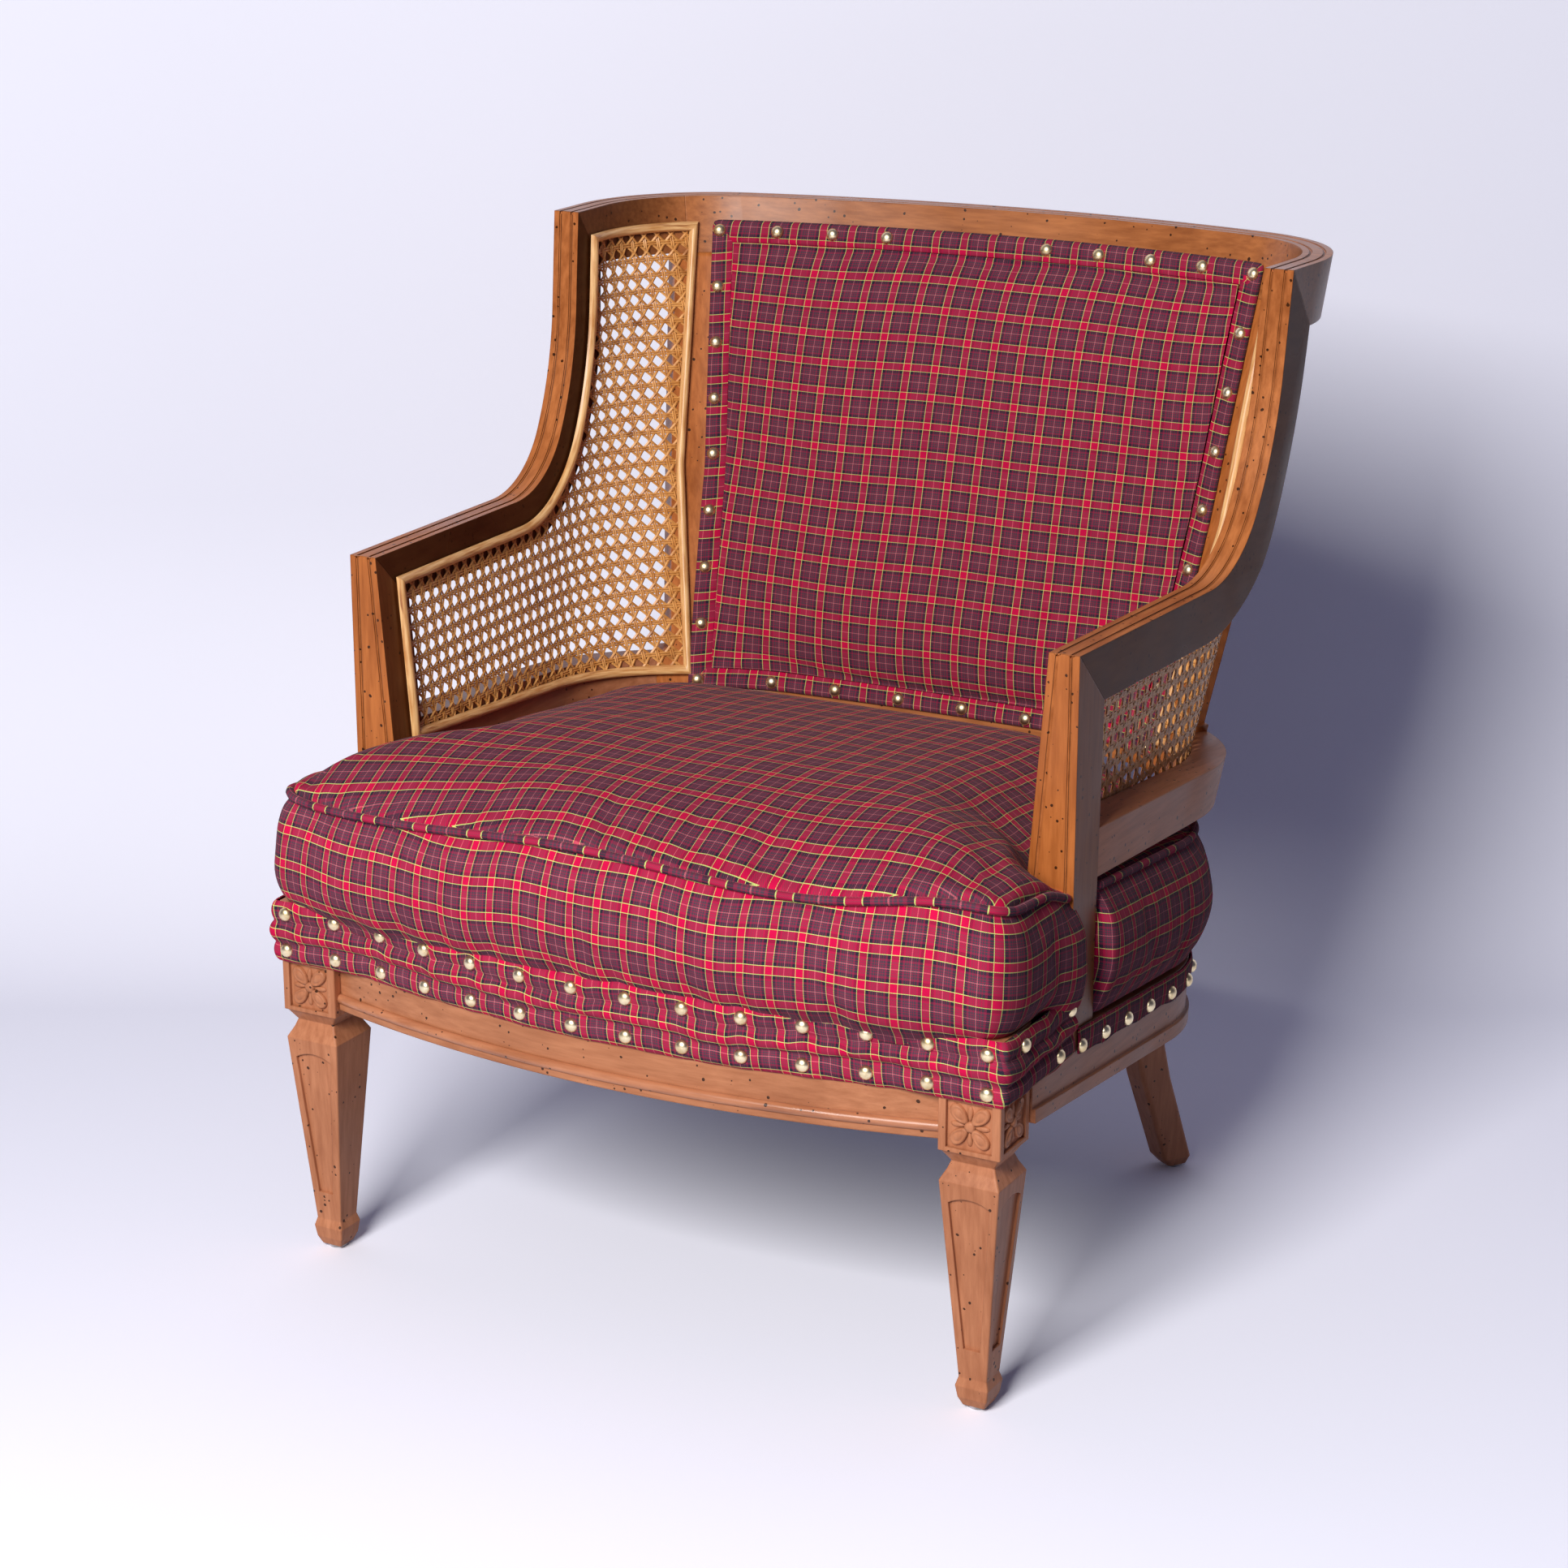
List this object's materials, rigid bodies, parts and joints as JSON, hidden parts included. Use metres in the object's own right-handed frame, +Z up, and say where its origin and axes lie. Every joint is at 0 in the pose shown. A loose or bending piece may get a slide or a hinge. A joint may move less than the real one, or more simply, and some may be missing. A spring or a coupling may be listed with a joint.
{
  "type": "lounge chair",
  "caption": "Low barrel-back lounge chair: moulded wooden frame, caned sides under swept arms, tight plaid seat and back edged with domed nails, carved tapered front legs, raked rear legs.",
  "frame": {"origin": "on the floor, under the middle of the whole chair's box", "axes": "X across the chair with +X on the sitter's left, the right of somebody facing it; +Y towards the back; +Z up; a sitter faces -Y"},
  "size_m": [0.7024, 0.7391, 0.811],
  "materials": {
    "leg_wood": "satin, golden brown with dark flecks",
    "frame_wood": "satin, golden brown walnut tone with dark flecks and dark grooves",
    "raw_wood": "unfinished",
    "steel": "dull steel",
    "cane": "woven split cane, honey gold",
    "reed": "pale half-round reed",
    "webbing": "jute webbing",
    "burlap": "coarse hessian",
    "stuffing": "cotton and foam stuffing",
    "plaid_cloth": "woven wool plaid of crimson, charcoal and gold lines",
    "dust_cloth": "thin black cambric",
    "brass_nail": "pale antique gilt, slightly worn"
  },
  "bodies": {
    "root": {"arm_left": "frame_wood", "arm_post_left": "frame_wood", "arm_post_right": "frame_wood", "arm_right": "frame_wood", "back_border": "plaid_cloth", "back_cover": "plaid_cloth", "back_foam": "stuffing", "back_nails": "brass_nail", "back_stile_left": "frame_wood", "back_stile_right": "frame_wood", "back_webbing_level": "webbing", "back_webbing_upright": "webbing", "cane_bead_arm_left": "reed", "cane_bead_arm_right": "reed", "cane_bead_back_left": "reed", "cane_bead_back_right": "reed", "cane_bead_bottom_left": "reed", "cane_bead_bottom_right": "reed", "cane_bead_front_left": "reed", "cane_bead_front_right": "reed", "cane_bead_top_left": "reed", "cane_bead_top_right": "reed", "cane_panel_left": "cane", "cane_panel_right": "cane", "corner_block_left": "raw_wood", "corner_block_right": "raw_wood", "corner_block_screws": "steel", "crest_corner_left": "frame_wood", "crest_corner_right": "frame_wood", "crest_rail": "frame_wood", "dust_cover": "dust_cloth", "frame_dowels": "raw_wood", "front_leg_left": "leg_wood", "front_leg_right": "leg_wood", "front_seat_rail": "leg_wood", "leg_glides": "steel", "mid_rail_back": "frame_wood", "mid_rail_side_left": "frame_wood", "mid_rail_side_right": "frame_wood", "outer_back_nails": "brass_nail", "outer_back_panel": "plaid_cloth", "rear_leg_block_left": "raw_wood", "rear_leg_block_right": "raw_wood", "rear_leg_bolts": "steel", "rear_leg_left": "frame_wood", "rear_leg_right": "frame_wood", "rear_seat_rail": "frame_wood", "seat_band_nails": "brass_nail", "seat_burlap": "burlap", "seat_cover": "plaid_cloth", "seat_edge_nails": "brass_nail", "seat_edge_strip": "plaid_cloth", "seat_foam": "stuffing", "seat_front_band": "plaid_cloth", "seat_webbing_cross": "webbing", "seat_webbing_long": "webbing", "seat_welt": "plaid_cloth", "side_seat_rail_left": "frame_wood", "side_seat_rail_right": "frame_wood"}
  },
  "joints": []
}
